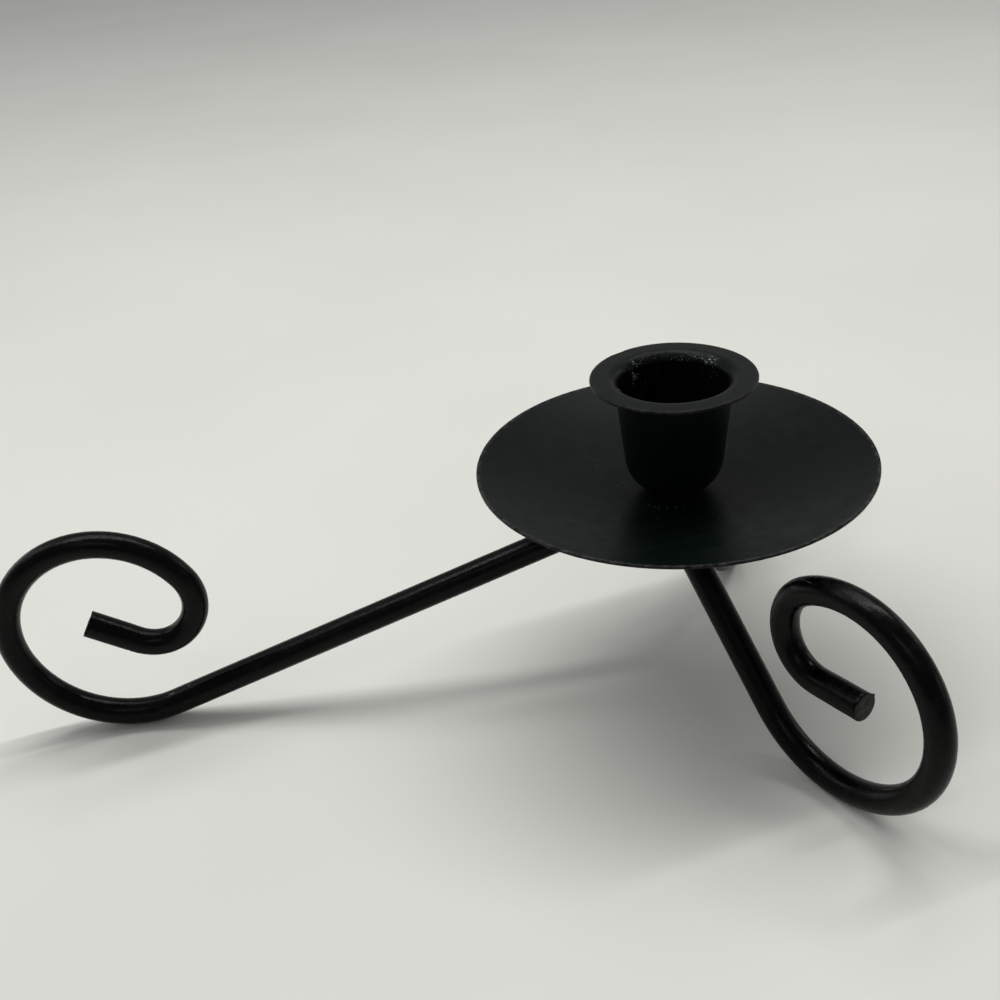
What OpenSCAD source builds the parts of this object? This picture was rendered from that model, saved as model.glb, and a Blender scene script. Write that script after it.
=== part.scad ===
// Taper candle holder on three scroll-footed legs.
// Z points up, the table is z = 0 and the candle's axis is the Z axis.
// The long left leg points along -X; the two short legs point front right and back right.
// Each bar passes beside the axis, all three on the same hand, like the vanes of a pinwheel.

/* [Bar] */
// Diameter of the round bar that all three legs are bent from
bar_d = 6.35; // [5:0.05:7]

/* [Stance] */
// Height of the drip pan's rim above the table
pan_rim_h = 59.1; // [55:0.1:70]
// Slope of the left leg's straight run below the horizontal, in degrees
left_slope = 19.8; // [18.5:0.1:24]
// Slope of the front and back legs' straight runs, in degrees
side_slope = 47.3; // [43:0.1:50]
// Angle in plan between the left leg and each of the other two, in degrees
leg_spread = 120; // [110:1:130]
// Angle that the back leg is turned from that place, towards the left leg, in degrees
back_skew = 6; // [0:0.5:8]
// Distance that each bar's centre line passes to the side of the candle's axis
leg_offset = 3.2; // [0:0.1:3.2]
// Drop from the pan's underside to where the bars' centre lines pass the axis
apex_drop = 1.85; // [1.6:0.05:2.9]

/* [Scroll] */
// Bend radius, at the bar's centre line, from the straight run over the foot
lead_r = 25.9; // [24.5:0.1:28]
// Angle that the foot's bend turns through, in degrees
lead_turn = 93; // [88:1:98]
// Bend radius of the scroll's large outer turn
main_r = 23; // [22:0.1:24.5]
// Angle that the large outer turn goes through, in degrees
main_turn = 167; // [162:1:172]
// Bend radius where the scroll tightens
inner_r = 11.5; // [11:0.1:13]
// Angle that the tightening bend turns through, in degrees
inner_turn = 82; // [76:1:88]
// Bend radius at the scroll's eye
eye_r = 9.8; // [9.2:0.1:10.5]
// Angle that the eye's bend turns through, in degrees
eye_turn = 68; // [62:1:75]
// Length of the straight tail that ends the bar
tail_len = 12; // [8:0.5:14]

/* [Drip pan] */
// Outer diameter of the pan
pan_d = 89.5; // [80:0.5:110]
// Depth of the dish, from the rim down to the flat seat in its middle
dish_depth = 7.5; // [5:0.5:10]
// Diameter of the flat seat in the middle of the dish
pan_seat_d = 6; // [6:0.5:12]
// Thickness of the pan's sheet metal
pan_t = 0.7; // [0.6:0.1:1.5]
// Bevel round the pan's upper edge
edge_break = 0.3; // [0.1:0.05:0.4]

/* [Candle cup] */
// Height of the cup, from the pan's seat to the top of its lip
cup_h = 27.8; // [24:0.1:36]
// Diameter of the flat under the cup's rounded base
cup_flat_d = 4.7; // [4.6:0.1:6]
// Outside radius of the rounding between that flat and the wall
cup_round = 8.7; // [8:0.1:10]
// Lean of the cup's wall from the vertical, in degrees
cup_taper = 6; // [1:0.5:8]
// Thickness of the cup's sheet metal
cup_t = 0.8; // [0.6:0.1:1.2]
// Outer diameter of the flared lip
lip_d = 36.6; // [34:0.1:44]
// Radius of the bend under the lip
lip_bend = 1.8; // [1:0.1:2.6]

/* [Hub] */
// Diameter of the round boss that the legs end on
hub_d = 17; // [17:0.5:20]
// Metal left on the hub below the steepest leg's end
hub_margin = 0.6; // [0.4:0.1:3]
// Reach of each weld round its bar
weld_w = 1.4; // [1:0.1:1.6]

/* [Screw] */
// Diameter of the screw's shank
screw_d = 4; // [3:0.1:4.1]
// Length of the screw below its head
screw_len = 12; // [8:0.5:13]
// Diameter of the screw's head
head_d = 7; // [6:0.1:8]
// Height of the screw's head
head_h = 2.6; // [1.6:0.1:3]
// Width of the slot in the screw's head
slot_w = 1.2; // [0.8:0.1:1.6]
// Depth of the slot in the screw's head
slot_depth = 1.1; // [0.6:0.1:1.4]

/* [Hidden] */
$fn = 96;

// Clearances and small fixed sizes, mm
hole_clear = 0.4;     // on diameter, round the shank in the cup and the pan
thread_clear = 0.2;   // on diameter, round the shank in the hub
weld_clear = 0.15;    // between a weld and its bar
pan_clear = 0.3;      // between a weld and the pan above it
blind_extra = 2;      // hub hole beyond the screw's tip
arc_steps = 20;       // straight facets in each profile curve
mark_w = 0.3;         // width of the faint ring that the bending die leaves between bends
mark_proud = 0.02;    // how far that ring stands out from the bar

bar_r = bar_d / 2;
hub_r = hub_d / 2;
seat_z = pan_rim_h - dish_depth;
under_z = seat_z - pan_t;
apex_z = under_z - apex_drop;
axis_hole_d = screw_d + hole_clear;

// Plan directions of the legs
left_az = 180;
front_az = left_az + leg_spread;
back_az = left_az - leg_spread + back_skew;

// ---- Leg geometry, in the leg's own plane: x outward, y up -------------------------------
// A bend is [radius, angle]. A heading is the bar's direction, counted up from the horizontal.
bends = [[lead_r, lead_turn], [main_r, main_turn], [inner_r, inner_turn], [eye_r, eye_turn]];

// Heading where bend i starts; i = len(bends) gives the tail's heading
function heading(slope, i) = i == 0 ? -slope : heading(slope, i - 1) + bends[i - 1][1];

// Step from a bend's start to the point where its heading has reached h1
function along(r, h0, h1) = [r * (sin(h1) - sin(h0)), r * (cos(h0) - cos(h1))];

// Where bend i starts, from the end of the straight run
function place(slope, i) =
    i == 0 ? [0, 0]
           : place(slope, i - 1)
             + along(bends[i - 1][0], heading(slope, i - 1), heading(slope, i));

// Lowest point of bend i's centre line
function bend_low(slope, i) =
    let (h0 = heading(slope, i), h1 = heading(slope, i + 1), p = place(slope, i))
    h0 <= 0 && h1 >= 0 ? p[1] + along(bends[i][0], h0, 0)[1]
                       : min(p[1], place(slope, i + 1)[1]);

function scroll_low(slope) = min([for (i = [0 : len(bends) - 1]) bend_low(slope, i)]);

// Straight run from beside the axis that brings the scroll down to the table
function run(slope) = (apex_z - bar_r + scroll_low(slope)) / sin(slope);

module bar(r, len) {
    rotate([0, 90, 0])
        cylinder(r = r, h = len);
}

module bend(r, h0, turn) {
    translate([-r * sin(h0), r * cos(h0), 0])
        rotate([0, 0, h0 - 90])
            rotate_extrude(angle = turn)
                translate([r, 0])
                    circle(r = bar_r);
}

// Ring between two bends, where the die gripped the bar
module die_mark(h0) {
    rotate([0, 0, h0])
        translate([-mark_w / 2, 0, 0])
            bar(bar_r + mark_proud, mark_w);
}

// Stands the leg's plane upright beside the axis and turns it to its place in plan
module in_leg_plane(az) {
    rotate([0, 0, az])
        translate([0, -leg_offset, apex_z])
            rotate([90, 0, 0])
                children();
}

// Round bar along a leg's straight run, of any radius and length
module along_run(slope, az, r, len) {
    in_leg_plane(az)
        rotate([0, 0, -slope])
            bar(r, len);
}

module scroll(slope) {
    for (i = [0 : len(bends) - 1])
        translate(place(slope, i)) {
            die_mark(heading(slope, i));
            bend(bends[i][0], heading(slope, i), bends[i][1]);
        }
    translate(place(slope, len(bends))) {
        die_mark(heading(slope, len(bends)));
        rotate([0, 0, heading(slope, len(bends))])
            bar(bar_r, tail_len);
    }
}

// The straight run is coped to the round hub; the scroll follows it
module leg(slope, az) {
    difference() {
        along_run(slope, az, bar_r, run(slope));
        cylinder(r = hub_r, h = pan_rim_h);
    }
    in_leg_plane(az)
        translate([run(slope) * cos(slope), -run(slope) * sin(slope), 0])
            scroll(slope);
}

// A collar of weld round the bar's coped end, thick at the hub and thinner outside it
module weld(slope, az) {
    steps = [[weld_w / 2, weld_w], [weld_w, weld_w / 2]];
    difference() {
        for (s = steps)
            intersection() {
                along_run(slope, az, bar_r + s[1], run(slope) / 2);
                translate([0, 0, hub_low])
                    cylinder(r = hub_r + s[0], h = under_z - pan_clear - hub_low);
            }
        along_run(slope, az, bar_r + weld_clear, run(slope));
        cylinder(r = hub_r, h = pan_rim_h);
    }
}

// ---- Hub ----------------------------------------------------------------------------------
steepest = max(left_slope, side_slope);
leg_end_low = apex_z - hub_r * tan(steepest) - bar_r / cos(steepest);
hub_low = leg_end_low - hub_margin;

// ---- Pan profile --------------------------------------------------------------------------
pan_r = pan_d / 2;
pan_seat_r = pan_seat_d / 2;
dish_span = pan_r - pan_seat_r;
dish_r = (dish_span * dish_span + dish_depth * dish_depth) / (2 * dish_depth);

// Points on the dish's arc of radius r, between two radii from the axis
function dish_arc(r, from, to) = [
    for (k = [0 : arc_steps])
        let (x = from + (to - from) * k / arc_steps)
        [x, seat_z + dish_r - sqrt(r * r - (x - pan_seat_r) * (x - pan_seat_r))]
];

pan_profile = concat(
    [[axis_hole_d / 2, seat_z]],
    dish_arc(dish_r, pan_seat_r, pan_r - edge_break),
    [[pan_r, pan_rim_h - edge_break]],
    dish_arc(dish_r + pan_t, pan_r, pan_seat_r),
    [[axis_hole_d / 2, under_z]]
);

// ---- Cup profile --------------------------------------------------------------------------
cup_flat_r = cup_flat_d / 2;
lip_cz = cup_h - cup_t - lip_bend;
wall_len = (lip_cz + lip_bend * sin(cup_taper) - cup_round * (1 - sin(cup_taper)))
           / cos(cup_taper);
lip_cx = cup_flat_r + (cup_round + lip_bend) * cos(cup_taper) + wall_len * sin(cup_taper);

function arc(cx, cz, r, a0, a1) = [
    for (k = [0 : arc_steps])
        let (a = a0 + (a1 - a0) * k / arc_steps)
        [cx + r * cos(a), cz + r * sin(a)]
];

// One face of the sheet, d in from the outside face: base, wall, then out along the lip
function cup_face(d) = concat(
    [[axis_hole_d / 2, d]],
    arc(cup_flat_r, cup_round, cup_round - d, -90, -cup_taper),
    arc(lip_cx, lip_cz, lip_bend + d, 180 - cup_taper, 90),
    [[lip_d / 2, lip_cz + lip_bend + d]]
);

function reversed(v) = [for (i = [len(v) - 1 : -1 : 0]) v[i]];

// ---- Screw --------------------------------------------------------------------------------
head_r = head_d / 2;
inner_round = cup_round - cup_t;
// The head's rim rests where the base has started to curve up
past_flat = max(0, head_r - cup_flat_r);
head_z = seat_z + cup_t + inner_round - sqrt(inner_round * inner_round - past_flat * past_flat);
tip_z = head_z - screw_len;
hole_low = tip_z - blind_extra;

// ---- Nodes --------------------------------------------------------------------------------
module drip_pan() {
    color([0.10, 0.11, 0.11])
        rotate_extrude()
            polygon(pan_profile);
}

module candle_cup() {
    color([0.09, 0.10, 0.10])
        translate([0, 0, seat_z])
            rotate_extrude()
                polygon(concat(cup_face(0), reversed(cup_face(cup_t))));
}

module cup_screw() {
    color([0.14, 0.14, 0.14]) {
        translate([0, 0, tip_z])
            cylinder(d = screw_d, h = screw_len);
        translate([0, 0, head_z])
            difference() {
                cylinder(d = head_d, h = head_h);
                translate([-head_d, -slot_w / 2, head_h - slot_depth])
                    cube([2 * head_d, slot_w, head_h]);
            }
    }
}

module hub() {
    color([0.08, 0.08, 0.09])
        difference() {
            translate([0, 0, hub_low])
                cylinder(r = hub_r, h = under_z - hub_low);
            translate([0, 0, hole_low])
                cylinder(d = screw_d + thread_clear, h = pan_rim_h - hole_low);
        }
}

module leg_left() {
    color([0.07, 0.07, 0.08])
        leg(left_slope, left_az);
}

module leg_front() {
    color([0.07, 0.07, 0.08])
        leg(side_slope, front_az);
}

module leg_back() {
    color([0.07, 0.07, 0.08])
        leg(side_slope, back_az);
}

module weld_left() {
    color([0.12, 0.12, 0.12])
        weld(left_slope, left_az);
}

module weld_front() {
    color([0.12, 0.12, 0.12])
        weld(side_slope, front_az);
}

module weld_back() {
    color([0.12, 0.12, 0.12])
        weld(side_slope, back_az);
}

drip_pan();
candle_cup();
cup_screw();
hub();
leg_left();
leg_front();
leg_back();
weld_left();
weld_front();
weld_back();
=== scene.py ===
import math
import random

import bmesh
import bpy
from mathutils import Matrix, Vector, noise


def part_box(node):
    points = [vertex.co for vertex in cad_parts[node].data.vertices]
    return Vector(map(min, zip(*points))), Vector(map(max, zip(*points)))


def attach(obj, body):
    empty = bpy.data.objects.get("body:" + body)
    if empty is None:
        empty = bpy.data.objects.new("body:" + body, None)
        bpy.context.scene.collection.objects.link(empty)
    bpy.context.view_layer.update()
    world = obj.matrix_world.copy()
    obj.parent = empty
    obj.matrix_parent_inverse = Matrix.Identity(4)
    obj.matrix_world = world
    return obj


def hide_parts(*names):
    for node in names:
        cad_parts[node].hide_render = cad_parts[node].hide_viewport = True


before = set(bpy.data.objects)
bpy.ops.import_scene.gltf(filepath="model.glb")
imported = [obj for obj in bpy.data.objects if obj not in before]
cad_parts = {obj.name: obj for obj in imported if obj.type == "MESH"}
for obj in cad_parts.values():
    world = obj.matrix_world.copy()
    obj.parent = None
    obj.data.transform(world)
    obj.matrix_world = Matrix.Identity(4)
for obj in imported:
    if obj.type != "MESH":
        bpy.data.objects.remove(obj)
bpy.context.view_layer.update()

MM = 0.001

# ---- Sizes, repeated from the construction -------------------------------------------------
BAR_R = 6.35 * MM / 2
APEX_Z = 49.05 * MM
LEG_OFFSET = 3.2 * MM
BENDS = ((25.9 * MM, 93), (23 * MM, 167), (11.5 * MM, 82), (9.8 * MM, 68))
TAIL_LEN = 12 * MM
LEGS = {"left": (180, 19.8), "front": (-60, 47.3), "back": (66, 47.3)}

PAN_R = 44.75 * MM
PAN_RIM_Z = 59.1 * MM
PAN_T = 0.7 * MM
PAN_SEAT_R = 3 * MM
DISH_DEPTH = 7.5 * MM
SEAT_Z = PAN_RIM_Z - DISH_DEPTH
DISH_SPAN = PAN_R - PAN_SEAT_R
DISH_R = (DISH_SPAN ** 2 + DISH_DEPTH ** 2) / (2 * DISH_DEPTH)
RIM_TILT = math.asin(DISH_SPAN / DISH_R)
AXIS_HOLE_R = 2.2 * MM

CUP_H = 27.8 * MM
CUP_T = 0.8 * MM
CUP_FLAT_R = 2.35 * MM
CUP_ROUND = 8.7 * MM
CUP_TAPER = math.radians(6)
LIP_R = 18.3 * MM
LIP_BEND = 1.8 * MM

HUB_R = 8.5 * MM
HUB_LOW, HUB_TOP = (corner.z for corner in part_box("hub"))
SCREW_R = 2 * MM
SCREW_PITCH = 0.7 * MM
HEAD_R = 3.5 * MM
HEAD_H = 2.6 * MM
SLOT_W = 1.2 * MM
SLOT_DEPTH = 1.1 * MM
SCREW_LOW, SCREW_TOP = (corner.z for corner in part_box("cup_screw"))


# ---- Materials ------------------------------------------------------------------------------
class Paint:
    """A node material built round one Principled shader. Noise scales are per metre."""

    def __init__(self, name):
        self.material = bpy.data.materials.new(name)
        self.material.use_nodes = True
        self.nodes = self.material.node_tree.nodes
        self.links = self.material.node_tree.links
        self.shader = self.nodes["Principled BSDF"]
        self.place = self.add("ShaderNodeTexCoord").outputs["Object"]

    def add(self, kind, **values):
        node = self.nodes.new(kind)
        for key, value in values.items():
            setattr(node, key, value)
        return node

    def fill(self, socket, value):
        """Links a socket to the value, or sets it where the value is a number or a vector."""
        if isinstance(value, bpy.types.NodeSocket):
            self.links.new(value, socket)
        else:
            socket.default_value = value

    def noise(self, scale, detail, rough=0.5):
        node = self.add("ShaderNodeTexNoise")
        node.inputs["Scale"].default_value = scale
        node.inputs["Detail"].default_value = detail
        node.inputs["Roughness"].default_value = rough
        self.links.new(self.place, node.inputs["Vector"])
        return node.outputs["Fac"]

    def ramp(self, value, low, high, to_low=0.0, to_high=1.0):
        """Maps low to high onto to_low to to_high, and holds the value at the ends."""
        node = self.add("ShaderNodeMapRange")
        node.inputs["From Min"].default_value = low
        node.inputs["From Max"].default_value = high
        node.inputs["To Min"].default_value = to_low
        node.inputs["To Max"].default_value = to_high
        self.links.new(value, node.inputs["Value"])
        return node.outputs["Result"]

    def math(self, operation, a, b=0.0):
        node = self.add("ShaderNodeMath", operation=operation)
        self.fill(node.inputs[0], a)
        self.fill(node.inputs[1], b)
        return node.outputs["Value"]

    def vector(self, operation, a, b=(0, 0, 0), result="Vector"):
        node = self.add("ShaderNodeVectorMath", operation=operation)
        self.fill(node.inputs[0], a)
        self.fill(node.inputs[1], b)
        return node.outputs[result]

    def mix(self, fac, a, b):
        """Mixes two colours, each a tuple or a socket; sockets 6 and 7 are the node's colours."""
        node = self.add("ShaderNodeMix", data_type="RGBA")
        self.links.new(fac, node.inputs["Factor"])
        self.fill(node.inputs[6], (*a, 1) if isinstance(a, tuple) else a)
        self.fill(node.inputs[7], (*b, 1) if isinstance(b, tuple) else b)
        return node.outputs[2]

    def mask(self, name):
        """One of the mesh's named values per point; 0 where the mesh has none of that name."""
        return self.add("ShaderNodeAttribute", attribute_name=name).outputs["Fac"]

    def stroke(self, start, end, width):
        """Mask of a thin scratch between two points in space, frayed by fine noise."""
        along = (end - start).normalized()
        rel = self.vector("SUBTRACT", self.place, tuple(start))
        t = self.vector("DOT_PRODUCT", rel, tuple(along), "Value")
        off = self.vector("LENGTH", self.vector("CROSS_PRODUCT", rel, tuple(along)), result="Value")
        length = (end - start).length
        begun = self.ramp(t, 0, SCRATCH_BEGUN * length)
        ending = self.ramp(t, length, SCRATCH_ENDING * length)
        ends = self.math("MULTIPLY", begun, ending)
        fray = self.ramp(self.noise(SCRATCH_FRAY, 3, 0.6), 0.34, 0.5)
        frayed = self.math("MULTIPLY", ends, fray)
        return self.math("MULTIPLY", frayed, self.ramp(off, width, SCRATCH_CORE * width))

    def radius(self):
        """Distance from the object's axis."""
        flat = self.vector("MULTIPLY", self.place, (1, 1, 0))
        return self.vector("LENGTH", flat, result="Value")

    def bump(self, height, distance):
        node = self.add("ShaderNodeBump")
        node.inputs["Strength"].default_value = 1.0
        node.inputs["Distance"].default_value = distance
        self.links.new(height, node.inputs["Height"])
        return node.outputs["Normal"]

    def to(self, socket, value):
        self.fill(self.shader.inputs[socket], (*value, 1) if isinstance(value, tuple) else value)


class Finish:
    """Sets a paint apart; its edge colour, for rubbed edges and painted highlights, may be None."""

    def __init__(self, dark, light, worn, rough, grain, specular, dust=0.0, strokes=(),
                 turned=0.0, waxed_and_shaded=False, mottled=0.0):
        self.dark, self.light, self.worn = dark, light, worn
        self.rough, self.grain, self.specular = rough, grain, specular
        self.dust, self.strokes, self.turned, self.waxed_and_shaded = dust, strokes, turned, waxed_and_shaded
        self.mottled = mottled


# Colours that lie over the paint: scratches, dust, wax in the mouth, the handled lip, the bars'
# blotches, and painted shade that darkens the inside of the cup
SCRATCH = (0.16, 0.155, 0.145)
DUST = (0.17, 0.17, 0.16)
WAX_FILM = (0.026, 0.024, 0.022)
LIP_FILM = (0.0032, 0.0056, 0.0047)
HAZE = (0.0064, 0.0070, 0.0072)
PAINTED_SHADE_INSIDE = (0.0008, 0.0010, 0.0009)
STEEL_DARK, STEEL_PALE = (0.004, 0.004, 0.0030), (0.014, 0.0135, 0.0100)
WAX_DARK, WAX_PALE = (0.10, 0.11, 0.115), (0.34, 0.36, 0.37)
DUST_DARK, DUST_PALE = (0.05, 0.05, 0.047), (0.16, 0.155, 0.145)

# Noise scales, per metre
CLOUD, SHEEN, BLOTCH = 60, 240, 360
PEEL_FINE, PEEL_COARSE = 1500, 400
LATHE_WAVER = 110
DUST_PATCH, DUST_SPECK = 90, 2600
SMEAR, WAX_GRAIN, WAX_PATCH = 320, 1300, 230
EDGE_WEAR = 700
STEEL_TONE, STEEL_GRAIN = 900, 1300
CRUMB_TONE, CRUMB_GRAIN = 2500, 5000
SCRATCH_FRAY = 1900
# A scratch is whole between these parts of its length, and across this part of its width
SCRATCH_BEGUN, SCRATCH_ENDING, SCRATCH_CORE = 0.15, 0.7, 0.35
LATHE_PITCH = 0.75 * MM
# How far below and above its own value a finish's roughness wanders, and how much a blotch adds
SMOOTHER, ROUGHER, BLOTCH_ROUGH = 0.05, 0.07, 0.14
# Heights in the bump, next to 1 for the fine peel
COARSE_PEEL, BLOTCH_PEEL, WAX_PEEL = 0.8, 2.4, 3.0


def satin_black(name, f):
    """Thin satin black paint: cloudy sheen, fine orange peel, dust, bare edges and scratches."""
    p = Paint(name)
    cloud = p.ramp(p.noise(CLOUD, 4, 0.55), 0.3, 0.7)
    colour = p.mix(cloud, f.dark, f.light)
    coarse = p.math("MULTIPLY", p.noise(PEEL_COARSE, 2), COARSE_PEEL)
    peel = p.math("ADD", p.noise(PEEL_FINE, 2), coarse)
    rough = p.ramp(p.noise(SHEEN, 4, 0.6), 0.3, 0.7, f.rough - SMOOTHER, f.rough + ROUGHER)
    if f.mottled:
        patches = p.noise(BLOTCH, 4, 0.7)
        blotch = p.ramp(patches, 0.50, 0.72, 0.0, f.mottled)
        colour = p.mix(blotch, colour, HAZE)
        rough = p.math("ADD", rough, p.math("MULTIPLY", blotch, BLOTCH_ROUGH))
        peel = p.math("ADD", peel, p.math("MULTIPLY", patches, BLOTCH_PEEL))
    if f.turned:
        lines = p.math("SINE", p.math("MULTIPLY", p.radius(), 2 * math.pi / LATHE_PITCH))
        wavering = p.math("MULTIPLY", lines, p.ramp(p.noise(LATHE_WAVER, 2), 0.35, 0.65))
        peel = p.math("ADD", peel, p.math("MULTIPLY", wavering, f.turned))
    if f.dust:
        patch = p.ramp(p.noise(DUST_PATCH, 2), 0.45, 0.7)
        specks = p.math("MULTIPLY", p.ramp(p.noise(DUST_SPECK, 2), 0.72, 0.77), patch)
        colour = p.mix(p.math("MULTIPLY", specks, f.dust), colour, DUST)
    if f.waxed_and_shaded:
        # Painted shade: the cup's inside is darkened, more so further down
        colour = p.mix(p.mask("deep"), colour, PAINTED_SHADE_INSIDE)
        uneven = p.ramp(p.noise(SMEAR, 3, 0.55), 0.30, 0.65, 0.35, 1.0)
        colour = p.mix(p.math("MULTIPLY", p.mask("lip"), uneven), colour, LIP_FILM)
        grains = p.ramp(p.noise(WAX_GRAIN, 4, 0.7), 0.50, 0.62)
        film = p.math("MULTIPLY", p.mask("wax"), grains)
        film = p.math("MULTIPLY", film, p.ramp(p.noise(WAX_PATCH, 2), 0.40, 0.60))
        colour = p.mix(film, colour, WAX_FILM)
        peel = p.math("ADD", peel, p.math("MULTIPLY", film, WAX_PEEL))
    # Edge colour: rubbed paint, and on the pan's rim also a painted highlight
    if f.worn:
        edge_patches = p.ramp(p.noise(EDGE_WEAR, 3, 0.6), 0.40, 0.62)
        colour = p.mix(p.math("MULTIPLY", p.mask("worn"), edge_patches), colour, f.worn)
    for start, end, width in f.strokes:
        colour = p.mix(p.stroke(start, end, width), colour, SCRATCH)
    p.to("Base Color", colour)
    p.to("Roughness", rough)
    p.to("Specular IOR Level", f.specular)
    p.to("Normal", p.bump(peel, f.grain))
    return p


def bar_point(side, past, around):
    """Point on a leg's surface, a length past the end of its straight run, at degrees round it."""
    azimuth, slope = LEGS[side]
    line = leg_line(slope)
    start = next(i for i, spot in enumerate(line) if spot[3])
    x, z, h, _ = line[start + round(past / STEP)]
    a = math.radians(around)
    out = Vector((-math.sin(h), 0, math.cos(h))) * math.cos(a) - Vector((0, math.sin(a), 0))
    turn = Matrix.Rotation(math.radians(azimuth), 4, "Z")
    return turn @ (Vector((x, -LEG_OFFSET, z)) + out * BAR_R)


# Leg, then mm past its straight run and degrees round the bar, for both ends, and width in mm
BAR_MARKS = (("front", 108.0, 165, 103.5, 140, 0.22), ("left", -1.2, 345, 0.6, 345, 0.26),
             ("left", -5.4, 350, -4.8, 352, 0.20), ("back", 100.0, 30, 97.0, 42, 0.20))


def bar_scratches():
    """Start, end and width of each scratch through the bars' paint."""
    return [(bar_point(side, past * MM, around), bar_point(side, end * MM, end_around), width * MM)
            for side, past, around, end, end_around, width in BAR_MARKS]


def make_materials():
    finishes = {
        # The pan's edge colour is rubbed paint and a painted highlight along its rim
        "pan": Finish((0.0004, 0.0024, 0.0018), (0.0010, 0.0036, 0.0029), (0.050, 0.052, 0.050),
                      0.36, 0.012 * MM, specular=0.105, dust=0.5, mottled=0.15),
        "cup": Finish((0.0016, 0.0034, 0.0040), (0.0026, 0.0046, 0.0052), (0.030, 0.028, 0.026),
                      0.36, 0.014 * MM, specular=0.10, dust=0.4, turned=0.3, waxed_and_shaded=True),
        "bar": Finish((0.0006, 0.0007, 0.0006), (0.0012, 0.0013, 0.0012), None,
                      0.24, 0.026 * MM, specular=0.11, dust=0.25, strokes=bar_scratches(),
                      mottled=0.5),
        "hub": Finish((0.0060, 0.0062, 0.0062), (0.0090, 0.0092, 0.0090), (0.050, 0.048, 0.045),
                      0.50, 0.018 * MM, specular=0.3, turned=0.8),
        "weld": Finish((0.0085, 0.0085, 0.0083), (0.0150, 0.0145, 0.0140), (0.060, 0.056, 0.051),
                       0.52, 0.035 * MM, specular=0.3),
        "screw": Finish((0.014, 0.014, 0.014), (0.022, 0.021, 0.020), (0.16, 0.155, 0.15),
                        0.38, 0.010 * MM, specular=0.5)}
    names = {"screw": "screw_black"}
    paints = {key: satin_black(names.get(key, key + "_paint"), f) for key, f in finishes.items()}
    paints["screw"].to("Metallic", 0.6)
    return paints


def cut_steel():
    """The sheared end of a bar, painted thinly over a rough face."""
    p = Paint("bar_cut_face")
    tone = p.ramp(p.noise(STEEL_TONE, 5, 0.7), 0.3, 0.7)
    p.to("Base Color", p.mix(tone, STEEL_DARK, STEEL_PALE))
    p.to("Roughness", p.ramp(tone, 0, 1, 0.45, 0.65))
    p.to("Specular IOR Level", 0.2)
    p.to("Normal", p.bump(p.noise(STEEL_GRAIN, 4, 0.65), 0.05 * MM))
    return p


def crumb_stuff(name, dark, light):
    """Old candle wax or dust: pale, dull and grainy."""
    p = Paint(name)
    tone = p.noise(CRUMB_TONE, 3, 0.6)
    p.to("Base Color", p.mix(tone, dark, light))
    p.to("Roughness", p.ramp(tone, 0.3, 0.7, 0.5, 0.75))
    p.to("Normal", p.bump(p.noise(CRUMB_GRAIN, 2), 0.02 * MM))
    return p


# ---- Mesh helpers ---------------------------------------------------------------------------
CRUMB_FLAT = 0.7          # height of a crumb as a part of its width
CRUMB_ROUGH = 0.5         # how much its surface swells and shrinks


class Shape:
    """Points, faces, material index per face and named masks per point."""

    def __init__(self, *masks):
        self.verts, self.faces, self.slots = [], [], []
        self.masks = {key: [] for key in masks}

    def point(self, p, **values):
        self.verts.append(tuple(p))
        for key, layer in self.masks.items():
            layer.append(values.get(key, 0.0))

    def face(self, corners, slot=0):
        self.faces.append(tuple(corners))
        self.slots.append(slot)

    def rings(self, first, count, around, slot=0, closed=False):
        """Quads between successive rings of points; closed also joins the last to the first."""
        for i in range(count if closed else count - 1):
            a, b = first + i * around, first + (i + 1) % count * around
            for k in range(around):
                n = (k + 1) % around
                self.face((a + k, a + n, b + n, b + k), slot)

    def crumb(self, centre, size, seed):
        """A small rough lump round its centre, in the second material."""
        ball = bmesh.new()
        bmesh.ops.create_icosphere(ball, subdivisions=2, radius=size)
        first = len(self.verts)
        for v in ball.verts:
            spot = v.co.normalized() * 1.6 + Vector((seed * 9.1, seed * 3.7, 0))
            swell = 1 + CRUMB_ROUGH * noise.noise(spot)
            self.point(Vector(centre) + Vector((v.co.x, v.co.y, v.co.z * CRUMB_FLAT)) * swell)
        for f in ball.faces:
            self.face([first + v.index for v in f.verts], 1)
        ball.free()

    def cluster(self, azimuth, z, size, seed, count):
        """A few lumps heaped together on the inside of the cup's mouth."""
        chance = random.Random(seed)
        for k in range(count):
            spread = 0.0 if k == 0 else size * 2.2
            along, rise = (chance.uniform(-spread, spread) for _ in range(2))
            spot = on_wall(azimuth, z, along, rise)
            big = 0.75 if k == 0 else chance.uniform(0.15, 0.5)
            self.crumb(spot, size * big, seed * 7 + k)

    def piece(self, name, paints, slot_name, replaces):
        mesh = bpy.data.meshes.new(name)
        mesh.from_pydata(self.verts, [], self.faces)
        for key, values in self.masks.items():
            mesh.attributes.new(key, "FLOAT", "POINT").data.foreach_set("value", values)
        for paint in paints:
            mesh.materials.append(paint.material)
        mesh.polygons.foreach_set("material_index", self.slots)
        mesh.polygons.foreach_set("use_smooth", [True] * len(self.faces))
        mesh.update()
        obj = bpy.data.objects.new(name, mesh)
        bpy.context.scene.collection.objects.link(obj)
        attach(obj, "root")
        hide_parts(replaces)


def arc(cx, cz, r, start, end, steps):
    """Points on an arc; angles in degrees."""
    out = []
    for k in range(steps + 1):
        a = math.radians(start + (end - start) * k / steps)
        out.append((cx + r * math.cos(a), cz + r * math.sin(a)))
    return out


def marked(points, mask):
    """A profile's points with one mask value each, without doubled points."""
    apart = 0.004 * MM
    out = []
    for r, z in points:
        if not out or math.hypot(r - out[-1][0], z - out[-1][1]) > apart:
            out.append((r, z, mask))
    return out


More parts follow.
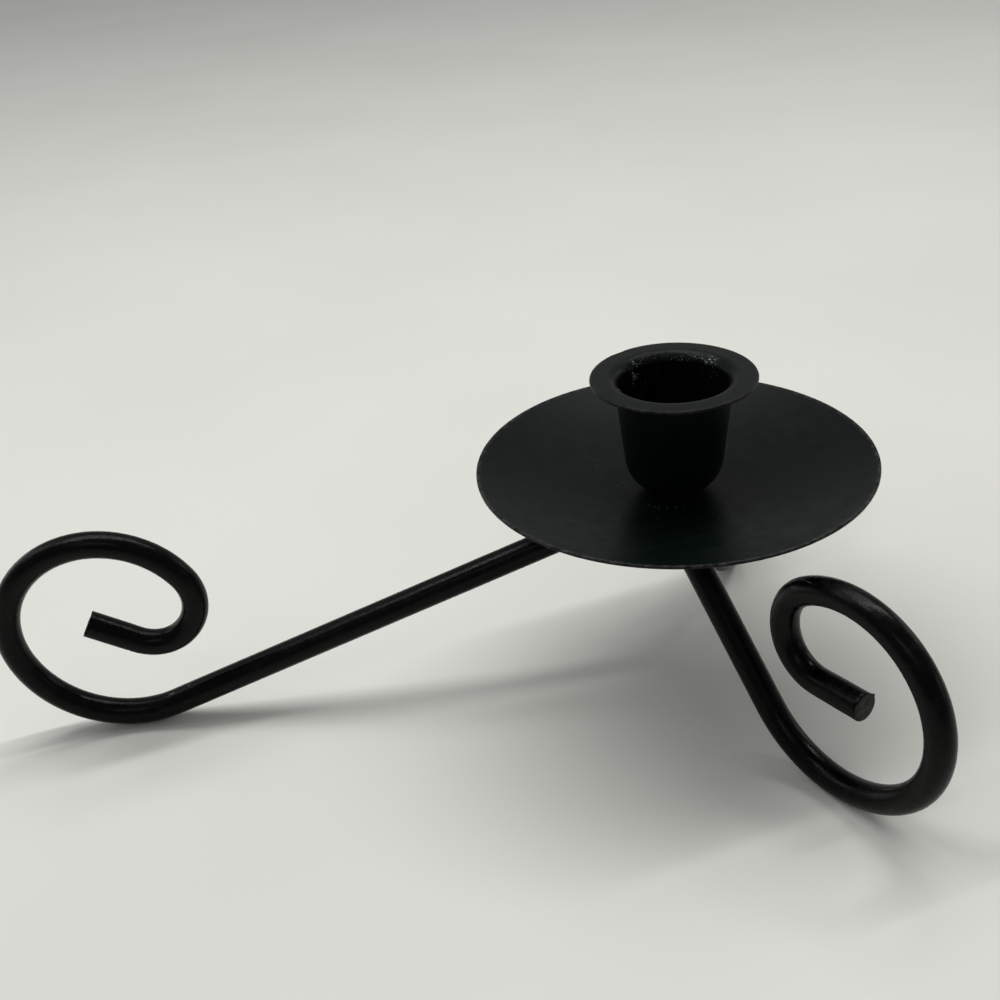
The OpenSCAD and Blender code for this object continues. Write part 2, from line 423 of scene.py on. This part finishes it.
def revolve(profile, around, bend, masks=("worn",), extra=None):
    """Turns a closed profile of (radius, height, mask) points about Z; bend moves each point."""
    shape = Shape(*masks)
    for r, z, mask in profile:
        for k in range(around):
            a = 2 * math.pi * k / around
            rr, zz = bend(r, z, a)
            more = extra(r, z, a) if extra else {}
            shape.point((rr * math.cos(a), rr * math.sin(a), zz), worn=mask, **more)
    shape.rings(0, len(profile), around, closed=True)
    return shape


def polar(r, azimuth, z):
    """Point at a radius in mm and an azimuth in degrees; z is in metres."""
    a = math.radians(azimuth)
    return (r * MM * math.cos(a), r * MM * math.sin(a), z)


# ---- Drip pan -------------------------------------------------------------------------------
PAN_EDGE = 0.24 * MM
PAN_UNDER_EDGE = 0.15 * MM
PAN_AROUND = 320
PAN_STEPS = 46
# Radius in mm, azimuth and size of the larger specks that lie in the dish, left of the cup
PAN_SPECKS = ((25.2, 135.1, 0.13), (20.9, 137.9, 0.12), (22.2, 130.5, 0.08), (19.6, 145.5, 0.13),
              (17.1, 158.5, 0.11), (11.9, 161.8, 0.12), (36.8, 130.5, 0.08))
# Fine dust: middle radius and azimuth of each patch, its spread in mm and degrees, and its grains
PAN_DUST = ((20.5, 142, 3.5, 12, 16), (10.3, -118, 1.5, 34, 26), (10.0, -14, 1.2, 16, 9),
            (10.2, 172, 1.4, 18, 12), (26.0, -60, 16.0, 90, 14), (28.0, 110, 14.0, 60, 8))
GRAIN = (0.04, 0.09)      # least and most size of a grain, in mm
DUST_RADII = (9.2, 42.0)  # dust lies between the cup's foot and the rim, in mm
SPECK_LIFT = 0.02 * MM    # height of a speck's middle above the dish
PAN_DENT = 0.01 * MM
PAN_DROOP = 0.03 * MM


def dish(x, drop=0.0):
    """Height of the dish's top face at radius x, or with drop of the face that far below it."""
    if x <= PAN_SEAT_R:
        return SEAT_Z - drop
    r = DISH_R + drop
    return SEAT_Z + DISH_R - math.sqrt(r * r - (x - PAN_SEAT_R) ** 2)


def pan_profile():
    tilt = math.degrees(RIM_TILT)
    outer, low_outer = PAN_R - PAN_EDGE, PAN_R - PAN_UNDER_EDGE
    spread = [PAN_SEAT_R + (outer - PAN_SEAT_R) * k / PAN_STEPS for k in range(PAN_STEPS + 1)]
    top = [(AXIS_HOLE_R, SEAT_Z)] + [(x, dish(x)) for x in spread[:-1]]
    edge_z = dish(outer) - PAN_EDGE / math.cos(RIM_TILT)
    edge = arc(outer, edge_z, PAN_EDGE, 90 + tilt, 0, 6)
    under_z = dish(low_outer, PAN_T) + PAN_UNDER_EDGE / math.cos(RIM_TILT)
    under = arc(low_outer, under_z, PAN_UNDER_EDGE, 0, tilt - 90, 4)
    bottom = [(x, dish(x, PAN_T)) for x in reversed(spread[:-1])] + [(AXIS_HOLE_R, SEAT_Z - PAN_T)]
    # Rim's rounded top: most edge colour, wear and a painted highlight; the underside little
    return marked(top, 0.0) + marked(edge, 0.8) + marked(under, 0.1) + marked(bottom, 0.0)


def pan_bend(r, z, a):
    """Slight buckle of the sheet, growing towards the rim, and never past the rim's circle."""
    share = (r / PAN_R) ** 2
    swell = 0.5 * math.sin(2 * a + 0.7) + 0.3 * math.sin(3 * a + 2.1) + 0.2 * math.sin(7 * a)
    inward = PAN_DENT * (1 + math.sin(5 * a + 1.0)) * share
    return r - inward, z + PAN_DROOP * (swell - 1) * share


def make_pan(paint, dust):
    shape = revolve(pan_profile(), PAN_AROUND, pan_bend)
    chance = random.Random(5)
    specks = list(PAN_SPECKS)
    for r, azimuth, reach, turn, count in PAN_DUST:
        specks += [(chance.gauss(r, reach / 2), chance.gauss(azimuth, turn / 2),
                    chance.uniform(*GRAIN)) for _ in range(count)]
    nearest, furthest = DUST_RADII
    for seed, (r, azimuth, size) in enumerate(specks):
        r = min(max(r, nearest), furthest)
        shape.crumb(polar(r, azimuth, dish(r * MM) + SPECK_LIFT), size * MM, seed)
    shape.piece("pan", [paint, dust], "pan_paint", "drip_pan")


# ---- Candle cup -----------------------------------------------------------------------------
CUP_AROUND = 256
CUP_STEPS = 22
LIP_CZ = CUP_H - CUP_T - LIP_BEND
WALL_LEN = ((LIP_CZ + LIP_BEND * math.sin(CUP_TAPER) - CUP_ROUND * (1 - math.sin(CUP_TAPER)))
            / math.cos(CUP_TAPER))
LIP_CX = (CUP_FLAT_R + (CUP_ROUND + LIP_BEND) * math.cos(CUP_TAPER)
          + WALL_LEN * math.sin(CUP_TAPER))
# Azimuth, height and size, in mm, of the crumbs of old wax in the mouth
CUP_CRUMBS = ((38.8, 78.5, 0.40), (33.0, 78.7, 0.24), (43.0, 77.9, 0.24), (48.0, 78.4, 0.18),
              (30.0, 78.0, 0.14), (56.0, 78.6, 0.12), (124.7, 75.5, 0.34), (122.6, 78.7, 0.22),
              (128.0, 76.6, 0.20), (130.0, 74.2, 0.18), (120.0, 77.4, 0.12), (-166.6, 78.6, 0.18),
              (112.0, 73.0, 0.12), (96.0, 76.0, 0.10), (70.0, 77.5, 0.10))
# Azimuth, height in mm, spread in degrees and in mm, and number of the finest crumbs
CUP_SPRAY = ((44, 78.3, 9, 0.5, 42), (36, 76.8, 6, 0.8, 12), (126, 75.6, 3, 0.5, 14),
             (122, 78.0, 7, 0.5, 22), (84, 78.2, 20, 0.5, 20))
SPRAY_SIZE = (0.03, 0.10)
CRUMB_TOP = 79.05 * MM    # no crumb's middle is higher than this, so none stands above the lip
# The lip's uneven edge, and the nick in it: azimuth and spread in degrees, and depth
LIP_DENT = 0.02 * MM
LIP_DROOP = 0.04 * MM
NICK = (121, 5, 0.22 * MM)
# Azimuth and spread of the wax at the back of the mouth, and the radius and width of its band
WAX_SIDE = (82, 50)
WAX_BAND = (13.3 * MM, 0.9 * MM)
# Where the film on the lip starts and how wide it fades in, and how far below the top it is found
LIP_FILM_IN = (13.4 * MM, 1.2 * MM)
LIP_FILM_LOW = 1.2 * MM
# How far below the top the painted shade inside the cup starts, and over what height it deepens
DARK_FROM = (0.7 * MM, 1.6 * MM)


def cup_face(depth):
    """One face of the cup's sheet, at that depth in from the outside, from base to lip."""
    taper = math.degrees(CUP_TAPER)
    base = arc(CUP_FLAT_R, CUP_ROUND, CUP_ROUND - depth, -90, -taper, CUP_STEPS)
    bend = arc(LIP_CX, LIP_CZ, LIP_BEND + depth, 180 - taper, 90, 16)
    lower, upper = base[-1], bend[0]
    wall = []
    for k in range(1, CUP_STEPS):
        t = k / CUP_STEPS
        wall.append((lower[0] + (upper[0] - lower[0]) * t, lower[1] + (upper[1] - lower[1]) * t))
    return [(AXIS_HOLE_R, depth)] + base + wall + bend


def lip_flat(reach, edge_x, z):
    """Points along the lip's flat, from where it leaves the bend to the rounding of its edge."""
    steps = 8
    return [(reach + (edge_x - reach) * k / steps, z) for k in range(1, steps)]


def cup_profile():
    edge_r = CUP_T / 2
    edge_x = LIP_R - edge_r
    lip_low = LIP_CZ + LIP_BEND
    outside, inside = cup_face(0), cup_face(CUP_T)
    outside += lip_flat(outside[-1][0], edge_x, lip_low)
    inside += lip_flat(inside[-1][0], edge_x, lip_low + CUP_T)
    edge = arc(edge_x, lip_low + edge_r, edge_r, -90, 90, 10)
    joined = marked(outside, 0.0) + marked(edge, 0.55) + marked(reversed(inside), 0.05)
    return [(r, z + SEAT_Z, mask) for r, z, mask in joined]


def cup_bend(r, z, a):
    """The lip droops a little and isn't quite even, as on a part pressed from sheet."""
    share = max(0.0, (r - LIP_CX) / (LIP_R - LIP_CX)) ** 2 if z > SEAT_Z + LIP_CZ else 0.0
    swell = 0.6 * math.sin(2 * a + 2.4) + 0.4 * math.sin(5 * a + 0.5) - 1.0
    azimuth, spread, depth = NICK
    nick = math.exp(-((math.degrees(a) - azimuth) / spread) ** 2)
    inward = LIP_DENT * (1 + math.sin(3 * a)) + depth * nick
    return r - inward * share, z + LIP_DROOP * swell * share


def cup_masks(r, z, a):
    """Wax smeared round the back of the mouth, the film on the lip, and painted shade inside."""
    middle, spread = WAX_SIDE
    side = math.exp(-((math.degrees(a) - middle) / spread) ** 4)
    high = z > SEAT_Z + LIP_CZ
    radius, width = WAX_BAND
    throat = math.exp(-((r - radius) / width) ** 2) if high else 0.0
    below = SEAT_Z + CUP_H - z
    start, fade = LIP_FILM_IN
    lip = min(1.0, max(0.0, (r - start) / fade)) if high and below < LIP_FILM_LOW else 0.0
    start, fade = DARK_FROM
    deep = min(1.0, max(0.0, (below - start) / fade)) if inside_cup(r, z) else 0.0
    return {"wax": side * throat, "lip": lip, "deep": deep}


def inside_cup(r, z):
    """Whether a point lies on the cup's inner face, nearer to the axis than the sheet's middle."""
    height = z - SEAT_Z
    if height < CUP_ROUND:
        return math.hypot(max(0.0, r - CUP_FLAT_R), CUP_ROUND - height) < CUP_ROUND - CUP_T / 2
    wall = CUP_FLAT_R + CUP_ROUND * math.cos(CUP_TAPER) + (height - CUP_ROUND) * math.tan(CUP_TAPER)
    if height < LIP_CZ:
        return r < wall - CUP_T / 2
    return math.hypot(LIP_CX - r, height - LIP_CZ) > LIP_BEND + CUP_T / 2 or r > LIP_CX


def mouth_radius(z):
    """Radius of the cup's inner face at a height in the bend of its lip or in its wall."""
    rise = z - SEAT_Z - LIP_CZ
    reach = LIP_BEND + CUP_T
    if rise > 0:
        return LIP_CX - math.sqrt(max(0.0, reach ** 2 - rise ** 2))
    slope = math.tan(CUP_TAPER)
    return LIP_CX - reach * math.cos(CUP_TAPER) + (rise - reach * math.sin(CUP_TAPER)) * slope


def on_wall(azimuth, z, along=0.0, rise=0.0):
    """Point on the inside of the mouth, moved by a length along and up the wall."""
    height = min(z * MM + rise, CRUMB_TOP)
    r = mouth_radius(height)
    return polar(r / MM, azimuth + math.degrees(along / r), height)


def make_cup(paint, wax):
    shape = revolve(cup_profile(), CUP_AROUND, cup_bend, ("worn", "wax", "lip", "deep"), cup_masks)
    for seed, (azimuth, z, size) in enumerate(CUP_CRUMBS, start=40):
        shape.cluster(azimuth, z, size * MM, seed, 3 + round(size * 30))
    chance = random.Random(12)
    for azimuth, z, turn, reach, count in CUP_SPRAY:
        for k in range(count):
            spot = on_wall(chance.gauss(azimuth, turn), chance.gauss(z, reach))
            shape.crumb(spot, chance.uniform(*SPRAY_SIZE) * MM, k)
    shape.piece("cup", [paint, wax], "cup_paint", "candle_cup")


# ---- Legs -----------------------------------------------------------------------------------
BAR_AROUND = 56
STEP = 0.6 * MM
END_BEVEL = 0.22 * MM
END_RINGS = 7
# A notch or a burr on the rim of a bar's end: degrees round the bar, push inward and swell
TAIL_MARKS = {"left": (270, 0.45 * MM, 0.0), "front": (305, -0.1 * MM, 0.12),
              "back": (100, 0.0, 0.06)}
NO_MARK = (0, 0.0, 0.0)
MARK_SPREAD = 11          # degrees round the bar
# The rolled bar is this much uneven, with this many dents per metre
UNEVEN, DENTS = 0.006, 70
# The sheared end: its grains per metre, and how rough its edge and its face are
SHEAR_GRAINS = 700
EDGE_ROUGH, FACE_ROUGH = 0.08 * MM, 0.16 * MM
# The end's bevel: radius as a part of the bar's, at parts of the bevel's length
BEVEL = ((0.992, 0.3), (0.965, 0.75))
FACE_SIZE = 0.93
# A bent bar is flattened by this much of its radius over the bend's, up to a limit
FLATTEN, MOST_FLAT = 0.12, 0.025
EASING = 9                # points on each side over which a bend's flattening is eased in


def scroll_spots(slope):
    """The scroll's (out, up, heading, bend radius or 0), from the end of the straight run."""
    x, z, heading = 0.0, 0.0, -math.radians(slope)
    spots = []
    for radius, turn in BENDS:
        count = int(radius * math.radians(turn) / STEP)
        goal = heading + math.radians(turn)
        for k in range(count):
            h = heading + (goal - heading) * k / count
            spots.append((x + radius * (math.sin(h) - math.sin(heading)),
                          z + radius * (math.cos(heading) - math.cos(h)), h, radius))
        x += radius * (math.sin(goal) - math.sin(heading))
        z += radius * (math.cos(heading) - math.cos(goal))
        heading = goal
    count = int((TAIL_LEN - END_BEVEL) / STEP)
    for k in range(count + 1):
        t = (TAIL_LEN - END_BEVEL) * k / count
        spots.append((x + t * math.cos(heading), z + t * math.sin(heading), heading, 0.0))
    return spots


def leg_line(slope):
    """Centre line in the leg's plane, from the hub to the tip: (out, up, heading, bend radius)."""
    fall = math.radians(slope)
    spots = scroll_spots(slope)
    low = min(z for _, z, _, _ in spots)
    run = (APEX_Z - BAR_R + low) / math.sin(fall)
    begin = (HUB_R + BAR_R * math.sin(fall)) / math.cos(fall)
    count = int((run - begin) / STEP)
    line = []
    for k in range(count):
        t = begin + (run - begin) * k / count
        line.append((t * math.cos(fall), APEX_Z - t * math.sin(fall), -fall, 0.0))
    x0, z0 = run * math.cos(fall), APEX_Z - run * math.sin(fall)
    return line + [(x0 + x, z0 + z, h, r) for x, z, h, r in spots]


def smooth_curvature(line):
    """How hard the bar is bent at each point, eased over the joints between bends."""
    raw = [1 / r if r else 0.0 for _, _, _, r in line]
    out = []
    for i in range(len(raw)):
        part = raw[max(0, i - EASING):i + EASING + 1]
        out.append(sum(part) / len(part))
    return out


def to_hub(p, along):
    """Moves a point along the bar to the hub's round face."""
    reach = math.sqrt(HUB_R ** 2 - p.y ** 2)
    return p + along * ((reach - p.x) / along.x)


class BarMesh:
    """Rings of points along one leg, in its own plane, turned to the leg's place in plan."""

    def __init__(self, side, seed):
        self.shape = Shape()
        self.turn = Matrix.Rotation(math.radians(LEGS[side][0]), 4, "Z")
        self.shift = Vector((seed * 3.1, seed * 1.7, seed * 5.3))
        self.count = 0

    def ring(self, x, z, h, size, flatten=0.0, coped=False, rough=0.0, mark=NO_MARK):
        """Adds a ring round (x, z) in the leg's plane, square to the heading h."""
        around, inward, swell = mark
        along = Vector((math.cos(h), 0, math.sin(h)))
        up = Vector((-math.sin(h), 0, math.cos(h)))
        centre = Vector((x, -LEG_OFFSET, z))
        for k in range(BAR_AROUND):
            a = 2 * math.pi * k / BAR_AROUND
            out = up * math.cos(a) * (1 - flatten) - Vector((0, math.sin(a), 0))
            near = math.exp(-((math.degrees(a) - around) / MARK_SPREAD) ** 2)
            p = centre + out * size * (1 + swell * near) - along * inward * near
            p -= out * size * UNEVEN * (0.5 + 0.5 * noise.noise(p * DENTS + self.shift))
            if coped:
                p = to_hub(p, along)
            if rough:
                p += along * rough * (noise.noise(p * SHEAR_GRAINS + self.shift) - 0.35)
            self.shape.point(self.turn @ p)
        self.count += 1


def make_leg(side, paint, face, seed):
    line = leg_line(LEGS[side][1])
    bar = BarMesh(side, seed)
    for i, ((x, z, h, _), bent) in enumerate(zip(line, smooth_curvature(line))):
        bar.ring(x, z, h, BAR_R, min(MOST_FLAT, FLATTEN * BAR_R * bent), coped=(i == 0))
    x, z, h, _ = line[-1]
    tip = Vector((x, 0, z))
    along = Vector((math.cos(h), 0, math.sin(h)))
    for size, step in BEVEL:
        spot = tip + along * END_BEVEL * step
        bar.ring(spot.x, spot.z, h, BAR_R * size, rough=EDGE_ROUGH, mark=TAIL_MARKS[side])
    body = bar.count
    spot = tip + along * END_BEVEL
    for k in range(END_RINGS):
        bar.ring(spot.x, spot.z, h, BAR_R * FACE_SIZE * (1 - k / END_RINGS), rough=FACE_ROUGH)
    shape = bar.shape
    shape.rings(0, body, BAR_AROUND)
    shape.rings((body - 1) * BAR_AROUND, END_RINGS + 1, BAR_AROUND, slot=1)
    last = (bar.count - 1) * BAR_AROUND
    shape.face(range(last, last + BAR_AROUND), 1)
    shape.face(reversed(range(BAR_AROUND)))
    shape.piece("leg_%s_bar" % side, [paint, face], "bar_paint", "leg_" + side)


# ---- Hub, welds and screw -------------------------------------------------------------------
TURNED_AROUND = 96
HUB_CHAMFER = 0.8 * MM
# The turner's centre in the hub's lower face: its depth, and its radius at bottom and mouth
DIMPLE_DEPTH, DIMPLE_LOW_R, DIMPLE_R = 0.5 * MM, 0.3 * MM, 1.1 * MM
# The weld bead: its height and how far it leans out from the hub, its width, how far it may reach
# into the bar, its ripples (height and number) and its unevenness
BEAD_RISE, BEAD_LEAN = 0.62 * MM, 0.62
BEAD_SPREAD, BEAD_TUCK = 0.66 * MM, -0.08 * MM
RIPPLE, RIPPLES, BEAD_UNEVEN = 0.09, 26, 0.12
WELD_AROUND, WELD_SECTION = 200, 12
WELD_WORN = 0.15
THREAD_DEPTH = 0.30 * MM
# The screw's tip: over what length the shank narrows, and by how much
TIP_LEN, TIP_EASE = 0.8 * MM, 0.5 * MM
SHANK_AROUND, SHANK_STEPS = 40, 160
HEAD_EDGE, SLOT_EDGE = 0.35 * MM, 0.02 * MM
HEAD_WORN = 0.9


def solid_of_rings(profile, around, squeeze=None):
    """A solid turned from (radius, height, mask) points, closed by a flat at each end."""
    shape = Shape("worn")
    for r, z, mask in profile:
        for k in range(around):
            a = 2 * math.pi * k / around
            rr = squeeze(r, z, a) if squeeze else r
            shape.point((rr * math.cos(a), rr * math.sin(a), z), worn=mask)
    shape.rings(0, len(profile), around)
    shape.face(reversed(range(around)))
    shape.face(range((len(profile) - 1) * around, len(profile) * around))
    return shape


def make_hub(paint):
    """Turned boss with a centre dimple and a bevel below."""
    corner = HUB_R - HUB_CHAMFER
    side_low = HUB_LOW + HUB_CHAMFER
    soft = 0.1 * MM
    profile = [(DIMPLE_LOW_R, HUB_LOW + DIMPLE_DEPTH, 0.0), (DIMPLE_R, HUB_LOW + 0.02 * MM, 0.4)]
    profile += [(DIMPLE_R + (corner - DIMPLE_R) * k / 6, HUB_LOW, 0.0) for k in range(1, 7)]
    profile += [(corner + soft, HUB_LOW + 0.04 * MM, 0.6), (HUB_R - soft, side_low - soft, 0.6)]
    profile += [(HUB_R, side_low + (HUB_TOP - side_low) * k / 10, 0.0) for k in range(11)]
    profile.append((AXIS_HOLE_R, HUB_TOP, 0.0))
    shape = solid_of_rings(profile, TURNED_AROUND)
    shape.piece("hub_boss", [paint], "hub_paint", "hub")


def weld_bead_point(foot, out, around, across, seed):
    """Point on the bead's section; around goes along the bead, across round its section."""
    wander = 0.8 * math.sin(3 * around)
    ripple = 1 + RIPPLE * math.sin(RIPPLES * around + wander)
    ripple += BEAD_UNEVEN * noise.noise(Vector((around, seed, 0)))
    away = Vector((foot.x, foot.y, 0)).normalized()
    rise = BEAD_RISE * ripple * (1 + math.cos(across))
    spread = max(BEAD_TUCK, BEAD_SPREAD * ripple * (0.4 + math.sin(across)))
    return foot + away * rise * BEAD_LEAN + out * spread


def make_weld(side, paint, seed):
    """A rippled bead of weld round the bar where it meets the hub, kept in the CAD weld's box."""
    azimuth, slope = LEGS[side]
    h = -math.radians(slope)
    turn = Matrix.Rotation(math.radians(azimuth), 4, "Z")
    along, up = Vector((math.cos(h), 0, math.sin(h))), Vector((-math.sin(h), 0, math.cos(h)))
    low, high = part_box("weld_" + side)
    shape = Shape("worn")
    for k in range(WELD_AROUND):
        a = 2 * math.pi * k / WELD_AROUND
        out = up * math.cos(a) - Vector((0, math.sin(a), 0))
        foot = to_hub(Vector((0, -LEG_OFFSET, APEX_Z)) + out * BAR_R, along)
        for j in range(WELD_SECTION):
            p = turn @ weld_bead_point(foot, out, a, 2 * math.pi * j / WELD_SECTION, seed)
            inside = [min(max(v, least), most) for v, least, most in zip(p, low, high)]
            shape.point(inside, worn=WELD_WORN)
    shape.rings(0, WELD_AROUND, WELD_SECTION, closed=True)
    shape.piece("weld_%s_bead" % side, [paint], "weld_paint", "weld_" + side)


def thread(r, z, a):
    """Radius of the shank with its thread, narrower at the tip."""
    turn = (z / SCREW_PITCH - a / (2 * math.pi)) % 1.0
    depth = THREAD_DEPTH * abs(2 * turn - 1)
    point = max(0.0, 1 - (z - SCREW_LOW) / TIP_LEN) * TIP_EASE
    return r - depth - point


def head_section(shape, y, top, round_edge):
    """Adds the head's outline at one y, with its slot along X; returns how many points it has."""
    half = math.sqrt(max(HEAD_R ** 2 - y ** 2, (0.05 * HEAD_R) ** 2))
    edge = min(round_edge, 0.45 * half)
    base = SCREW_TOP - HEAD_H
    right = [(half, base), (half, top - edge)]
    right += [(half - edge + edge * math.cos(t), top - edge + edge * math.sin(t))
              for t in (0.5, 1.05, math.pi / 2)]
    right += [(half * 0.5, top), (0.02 * HEAD_R, top)]
    outline = right + [(-x, z) for x, z in reversed(right)]
    for x, z in outline:
        shape.point((x, y, z), worn=HEAD_WORN if z > base and abs(x) > half - edge else 0.0)
    return len(outline)


def make_screw(paint):
    """Threaded shank and slotted head."""
    length = SCREW_TOP - HEAD_H - SCREW_LOW
    profile = [(SCREW_R, SCREW_LOW + length * k / SHANK_STEPS, 0.0) for k in range(SHANK_STEPS + 1)]
    shape = solid_of_rings(profile, SHANK_AROUND, thread)
    sides = [math.sin(math.radians(d)) for d in range(-88, -8, 5)]
    ys = [HEAD_R * s for s in sides if HEAD_R * abs(s) > SLOT_W / 2 + 0.05 * MM]
    slot_z = SCREW_TOP - SLOT_DEPTH
    cuts = [(y, SCREW_TOP, HEAD_EDGE) for y in ys]
    cuts += [(-SLOT_W / 2, SCREW_TOP, HEAD_EDGE), (-SLOT_W / 2, slot_z, SLOT_EDGE),
             (0.0, slot_z, SLOT_EDGE)]
    cuts += [(-y, top, edge) for y, top, edge in reversed(cuts[:-1])]
    first = len(shape.verts)
    for y, top, edge in cuts:
        around = head_section(shape, y, top, edge)
    shape.rings(first, len(cuts), around)
    shape.face(range(first, first + around))
    shape.face(reversed(range(len(shape.verts) - around, len(shape.verts))))
    shape.piece("screw", [paint], "screw_black", "cup_screw")


# ---- Stage ----------------------------------------------------------------------------------
FLOOR_HALF = 3.0
FLOOR_DARK, FLOOR_PALE = (0.76, 0.755, 0.715), (0.80, 0.795, 0.76)
FLOOR_CLOUD = 7           # noise scale, per metre
FLOOR_ROUGH, FLOOR_GLOSS = 0.20, 0.14

# The surroundings: a dim room in front, a pale wall behind
ROOM, WALL = (0.20, 0.202, 0.20, 1), (0.40, 0.41, 0.39, 1)
# The wall comes in over these parts of the direction's Y, and thins out upwards over these of its Z
WALL_IN, WALL_OUT = (-0.25, 0.65), (0.30, 0.80)
WALL_LEFT = 0.15          # how much of the wall is left overhead

# Soft rectangular lamps: place, length along X and width, power in watts, colour
LAMPS = {
    "key_strip": ((-0.05, 0.17, 1.0), (1.5, 0.06), 6.2, (1.0, 0.995, 0.975)),
    "back_strip": ((-0.15, 0.50, 1.15), (1.2, 0.25), 3.4, (0.99, 1.0, 1.0)),
    "left_box": ((-1.2, 0.35, 0.9), (0.6, 0.6), 1.8, (0.98, 0.99, 1.0)),
    "right_box": ((1.4, 0.7, 0.6), (0.6, 0.4), 1.2, (1.0, 0.99, 0.97)),
    "left_low": ((-1.3, 0.9, 0.19), (0.7, 0.3), 0.8, (0.99, 0.99, 1.0)),
    "front_box": ((-0.30, -0.75, 0.85), (0.5, 0.18), 0.45, (1.0, 1.0, 1.0)),
    "right_low": ((1.4, -0.40, 0.34), (0.5, 0.3), 0.5, (1.0, 0.99, 0.98))}
LAMP_AIM = Vector((0, 0, 0.03))


def make_floor():
    mesh = bpy.data.meshes.new("floor")
    s = FLOOR_HALF
    mesh.from_pydata([(-s, -s, 0), (s, -s, 0), (s, s, 0), (-s, s, 0)], [], [(0, 1, 2, 3)])
    floor = bpy.data.objects.new("floor", mesh)
    bpy.context.scene.collection.objects.link(floor)
    p = Paint("pale_floor")
    p.to("Base Color", p.mix(p.ramp(p.noise(FLOOR_CLOUD, 2), 0.3, 0.7), FLOOR_DARK, FLOOR_PALE))
    p.to("Roughness", FLOOR_ROUGH)
    p.to("Specular IOR Level", FLOOR_GLOSS)
    mesh.materials.append(p.material)


def make_world():
    """Soft surroundings: a pale wall behind the object, dimmer above and in the room in front."""
    world = bpy.data.worlds.new("studio")
    world.use_nodes = True
    nodes, links = world.node_tree.nodes, world.node_tree.links
    place = nodes.new("ShaderNodeTexCoord").outputs["Generated"]
    split = nodes.new("ShaderNodeSeparateXYZ")
    links.new(place, split.inputs["Vector"])

    def eased(axis, span, to_low, to_high):
        node = nodes.new("ShaderNodeMapRange")
        node.interpolation_type = "SMOOTHSTEP"
        node.inputs["From Min"].default_value, node.inputs["From Max"].default_value = span
        node.inputs["To Min"].default_value = to_low
        node.inputs["To Max"].default_value = to_high
        links.new(split.outputs[axis], node.inputs["Value"])
        return node.outputs["Result"]

    wall = nodes.new("ShaderNodeMath")
    wall.operation = "MULTIPLY"
    links.new(eased("Y", WALL_IN, 0.0, 1.0), wall.inputs[0])
    links.new(eased("Z", WALL_OUT, 1.0, WALL_LEFT), wall.inputs[1])
    tone = nodes.new("ShaderNodeMix")
    tone.data_type = "RGBA"
    tone.inputs[6].default_value = ROOM
    tone.inputs[7].default_value = WALL
    links.new(wall.outputs[0], tone.inputs["Factor"])
    links.new(tone.outputs[2], nodes["Background"].inputs["Color"])
    bpy.context.scene.world = world


def make_lights():
    for name, (place, size, power, colour) in LAMPS.items():
        data = bpy.data.lights.new(name, "AREA")
        data.shape = "RECTANGLE"
        data.size, data.size_y = size
        data.energy = power
        data.color = colour
        lamp = bpy.data.objects.new(name, data)
        lamp.location = place
        lamp.rotation_euler = (LAMP_AIM - Vector(place)).to_track_quat("-Z", "Y").to_euler()
        bpy.context.scene.collection.objects.link(lamp)


# The camera, solved from the photo's outlines: place, the frame's right and up, and focal length
CAMERA_PLACE = Vector((-49.11, -247.86, 194.52)) * MM
CAMERA_RIGHT = Vector((0.99355, -0.08163, -0.07867))
CAMERA_UP = Vector((0.10873, 0.48968, 0.86509))
FOCAL_PIXELS = 1261.76
FRAME_PIXELS = 1000
SENSOR = 36.0


def make_camera():
    data = bpy.data.cameras.new("camera")
    data.sensor_width = SENSOR
    data.lens = FOCAL_PIXELS * SENSOR / FRAME_PIXELS
    data.clip_start = 0.005
    camera = bpy.data.objects.new("camera", data)
    bpy.context.scene.collection.objects.link(camera)
    right = CAMERA_RIGHT.normalized()
    back = right.cross(CAMERA_UP).normalized()
    up = back.cross(right)
    turn = Matrix((right, up, back)).transposed()
    camera.matrix_world = Matrix.Translation(CAMERA_PLACE) @ turn.to_4x4()
    bpy.context.scene.camera = camera


def main():
    paints = make_materials()
    face = cut_steel()
    wax = crumb_stuff("old_wax", WAX_DARK, WAX_PALE)
    dust = crumb_stuff("dust", DUST_DARK, DUST_PALE)
    make_pan(paints["pan"], dust)
    make_cup(paints["cup"], wax)
    for seed, side in enumerate(LEGS, start=1):
        make_leg(side, paints["bar"], face, seed)
        make_weld(side, paints["weld"], seed)
    make_hub(paints["hub"])
    make_screw(paints["screw"])
    make_floor()
    make_world()
    make_lights()
    make_camera()
    bpy.context.scene.view_settings.view_transform = "Standard"


main()
